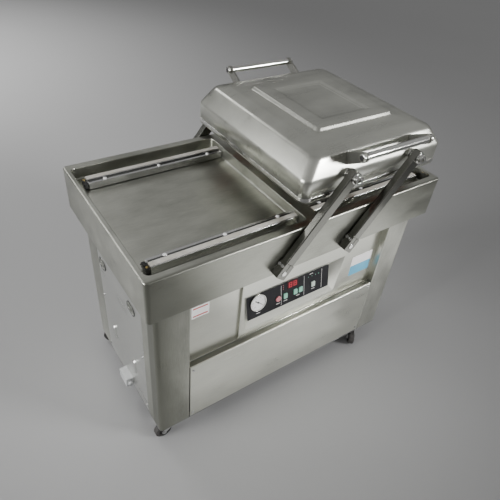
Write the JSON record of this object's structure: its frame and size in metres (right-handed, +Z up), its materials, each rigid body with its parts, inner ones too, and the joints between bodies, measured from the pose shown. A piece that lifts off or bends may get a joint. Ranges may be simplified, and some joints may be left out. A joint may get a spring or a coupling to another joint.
{
  "type": "vacuum packing machine",
  "caption": "Floor-standing double-chamber vacuum packing machine with swing-over lid, sealing bars, sloping control box and casters.",
  "frame": {"origin": "on the floor under the centre of the cabinet and deck", "axes": "+X along the machine to the right of somebody facing the control panel, -Y is the front, +Z is up"},
  "size_m": [0.99, 0.64, 0.9433],
  "materials": {
    "brushed_sheet": "fine brushed stainless sheet",
    "polished_tube": "polished stainless",
    "inner_steel": "galvanised inner frame",
    "plate_black": "printed panel film",
    "gauge_metal": "bright bezel",
    "needle_black": "matt black",
    "key_green": "satin key caps",
    "key_red": "satin key cap",
    "board": "glass fibre board",
    "pump_paint": "hammered paint",
    "valve_brass": "machined",
    "hose": "reinforced hose",
    "transformer_iron": "varnished core",
    "cylinder_alu": "anodised",
    "spring_steel": "oiled",
    "inlet_grey": "moulded",
    "fasteners": "bright zinc",
    "bar_alu": "anodised",
    "heat_tape": "glass fibre tape over the ribbon",
    "gasket_rubber": "moulded seal",
    "silicone": "silicone",
    "fork_zinc": "bright zinc",
    "wheel_rubber": "moulded tread"
  },
  "bodies": {
    "cabinet": {"deck_table": "brushed_sheet", "corner_columns": "brushed_sheet", "front_recess_panel": "brushed_sheet", "front_lower_panel": "brushed_sheet", "left_side_panel": "brushed_sheet", "right_side_panel": "brushed_sheet", "rear_panel": "brushed_sheet", "base_pan": "inner_steel", "top_frame": "inner_steel", "control_box": "brushed_sheet", "control_faceplate": "plate_black", "gauge_case": "gauge_metal", "circuit_board": "board", "vacuum_pump": "pump_paint", "pump_motor": "pump_paint", "exhaust_filter": "pump_paint", "solenoid_valves": "valve_brass", "vacuum_hoses": "hose", "transformer": "transformer_iron", "lift_cylinders": "cylinder_alu", "shaft_bearings": "inner_steel", "balance_springs": "spring_steel", "power_inlet": "inlet_grey", "panel_screws": "fasteners", "caster_plates": "inner_steel"},
    "left_arm": {"left_arms": "polished_tube", "left_shaft": "polished_tube", "left_bolts": "fasteners"},
    "right_arm": {"right_arms": "polished_tube", "right_shaft": "polished_tube", "right_bolts": "fasteners"},
    "lid": {"lid_shell": "brushed_sheet", "lid_gasket": "gasket_rubber", "silicone_bars": "silicone", "handle_bars": "polished_tube", "handle_brackets": "brushed_sheet", "lid_pivots": "polished_tube", "lid_screws": "fasteners"},
    "needle": {"gauge_needle": "needle_black"},
    "bar_left_front": {"seal_bar_left_front": "bar_alu", "heat_strip_left_front": "heat_tape"},
    "bar_left_rear": {"seal_bar_left_rear": "bar_alu", "heat_strip_left_rear": "heat_tape"},
    "bar_right_front": {"seal_bar_right_front": "bar_alu", "heat_strip_right_front": "heat_tape"},
    "bar_right_rear": {"seal_bar_right_rear": "bar_alu", "heat_strip_right_rear": "heat_tape"},
    "stop_key": {"stop_button": "key_red"},
    "start_key": {"start_button": "key_green"},
    "minus_key": {"minus_button": "key_green"},
    "plus_key": {"plus_button": "key_green"},
    "set_key": {"set_button": "key_green"},
    "fork_front_left": {"caster_fork_front_left": "fork_zinc"},
    "wheel_front_left": {"caster_wheel_front_left": "wheel_rubber"},
    "fork_front_right": {"caster_fork_front_right": "fork_zinc"},
    "wheel_front_right": {"caster_wheel_front_right": "wheel_rubber"},
    "fork_rear_left": {"caster_fork_rear_left": "fork_zinc"},
    "wheel_rear_left": {"caster_wheel_rear_left": "wheel_rubber"},
    "fork_rear_right": {"caster_fork_rear_right": "fork_zinc"},
    "wheel_rear_right": {"caster_wheel_rear_right": "wheel_rubber"}
  },
  "joints": [
    {"name": "left_arm_swing", "type": "hinge", "parent": "cabinet", "child": "left_arm", "pos_m": [-0.12, 0, 0.628], "axis": [0, 1, 0], "range_deg": [-92.77, 15.71], "stiffness_Nm_per_rad": 43, "springref_deg": -38.53},
    {"name": "right_arm_swing", "type": "hinge", "parent": "cabinet", "child": "right_arm", "pos_m": [0.12, 0, 0.628], "axis": [0, 1, 0], "range_deg": [-92.97, 15.91]},
    {"name": "lid_level", "type": "hinge", "parent": "left_arm", "child": "lid", "pos_m": [0.07, 0, 0.86659], "axis": [0, 1, 0], "range_deg": [-15.91, 92.97]},
    {"name": "bar_left_front_lift", "type": "slide", "parent": "cabinet", "child": "bar_left_front", "axis": [0, 0, 1], "range_m": [0, 0.0165]},
    {"name": "bar_left_rear_lift", "type": "slide", "parent": "cabinet", "child": "bar_left_rear", "axis": [0, 0, 1], "range_m": [0, 0.0165]},
    {"name": "bar_right_front_lift", "type": "slide", "parent": "cabinet", "child": "bar_right_front", "axis": [0, 0, 1], "range_m": [0, 0.0165]},
    {"name": "bar_right_rear_lift", "type": "slide", "parent": "cabinet", "child": "bar_right_rear", "axis": [0, 0, 1], "range_m": [0, 0.0165]},
    {"name": "stop_press", "type": "slide", "parent": "cabinet", "child": "stop_key", "axis": [0, 0.9781, -0.2079], "range_m": [0, 0.0015], "stiffness_N_per_m": 400, "springref_m": -0.0005},
    {"name": "start_press", "type": "slide", "parent": "cabinet", "child": "start_key", "axis": [0, 0.9781, -0.2079], "range_m": [0, 0.0015], "stiffness_N_per_m": 400, "springref_m": -0.0005},
    {"name": "minus_press", "type": "slide", "parent": "cabinet", "child": "minus_key", "axis": [0, 0.9781, -0.2079], "range_m": [0, 0.0015], "stiffness_N_per_m": 400, "springref_m": -0.0005},
    {"name": "plus_press", "type": "slide", "parent": "cabinet", "child": "plus_key", "axis": [0, 0.9781, -0.2079], "range_m": [0, 0.0015], "stiffness_N_per_m": 400, "springref_m": -0.0005},
    {"name": "set_press", "type": "slide", "parent": "cabinet", "child": "set_key", "axis": [0, 0.9781, -0.2079], "range_m": [0, 0.0015], "stiffness_N_per_m": 400, "springref_m": -0.0005},
    {"name": "needle_turn", "type": "hinge", "parent": "cabinet", "child": "needle", "pos_m": [-0.1175, -0.20946, 0.43615], "axis": [0, 0.9781, -0.2079], "range_deg": [-263, 8]},
    {"name": "swivel_front_left", "type": "hinge", "parent": "cabinet", "child": "fork_front_left", "pos_m": [-0.41, -0.211, 0.064], "axis": [0, 0, 1], "continuous": true},
    {"name": "roll_front_left", "type": "hinge", "parent": "fork_front_left", "child": "wheel_front_left", "pos_m": [-0.444, -0.211, 0.027], "axis": [0, -1, 0], "continuous": true},
    {"name": "swivel_front_right", "type": "hinge", "parent": "cabinet", "child": "fork_front_right", "pos_m": [0.376, -0.211, 0.064], "axis": [0, 0, 1], "continuous": true},
    {"name": "roll_front_right", "type": "hinge", "parent": "fork_front_right", "child": "wheel_front_right", "pos_m": [0.35493, -0.23768, 0.027], "axis": [0.7848, -0.6198, 0], "continuous": true},
    {"name": "swivel_rear_left", "type": "hinge", "parent": "cabinet", "child": "fork_rear_left", "pos_m": [-0.41, 0.211, 0.064], "axis": [0, 0, 1], "continuous": true},
    {"name": "roll_rear_left", "type": "hinge", "parent": "fork_rear_left", "child": "wheel_rear_left", "pos_m": [-0.4372, 0.2314, 0.027], "axis": [-0.6, -0.8, 0], "continuous": true},
    {"name": "swivel_rear_right", "type": "hinge", "parent": "cabinet", "child": "fork_rear_right", "pos_m": [0.376, 0.211, 0.064], "axis": [0, 0, 1], "continuous": true},
    {"name": "roll_rear_right", "type": "hinge", "parent": "fork_rear_right", "child": "wheel_rear_right", "pos_m": [0.3556, 0.2382, 0.027], "axis": [-0.8, -0.6, 0], "continuous": true}
  ],
  "couplings": [
    {"joint": "right_arm_swing", "follows": "left_arm_swing", "ratio": 1},
    {"joint": "lid_level", "follows": "left_arm_swing", "ratio": -1}
  ]
}
